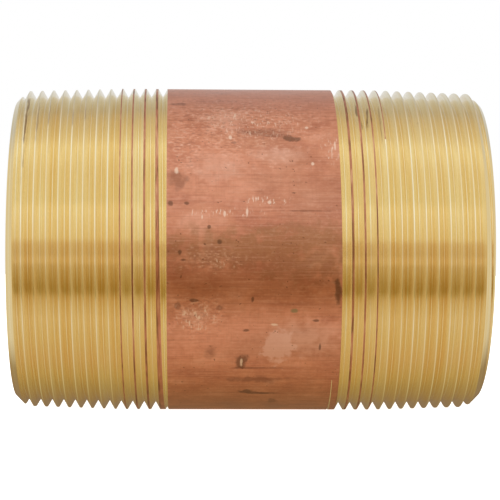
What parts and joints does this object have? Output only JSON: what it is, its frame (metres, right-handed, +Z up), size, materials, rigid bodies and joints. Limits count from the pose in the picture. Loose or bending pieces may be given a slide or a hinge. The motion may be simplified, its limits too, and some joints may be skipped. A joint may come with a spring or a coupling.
{
  "type": "pipe nipple",
  "caption": "Short length of red brass pipe with a right-hand taper pipe thread cut on each end and bare pipe between them, for joining two internally threaded fittings.",
  "frame": {"origin": "middle of the pipe, on its axis, half way between the two end faces", "axes": "+X along the pipe's axis towards the right end, +Z up with the pipe lying on its side"},
  "size_m": [0.127, 0.0888, 0.0888],
  "materials": {
    "brass": "satin, freshly cut threads with a tarnished copper-coloured skin on the bare pipe"
  },
  "bodies": {
    "root": {"pipe_nipple": "brass"}
  },
  "joints": []
}
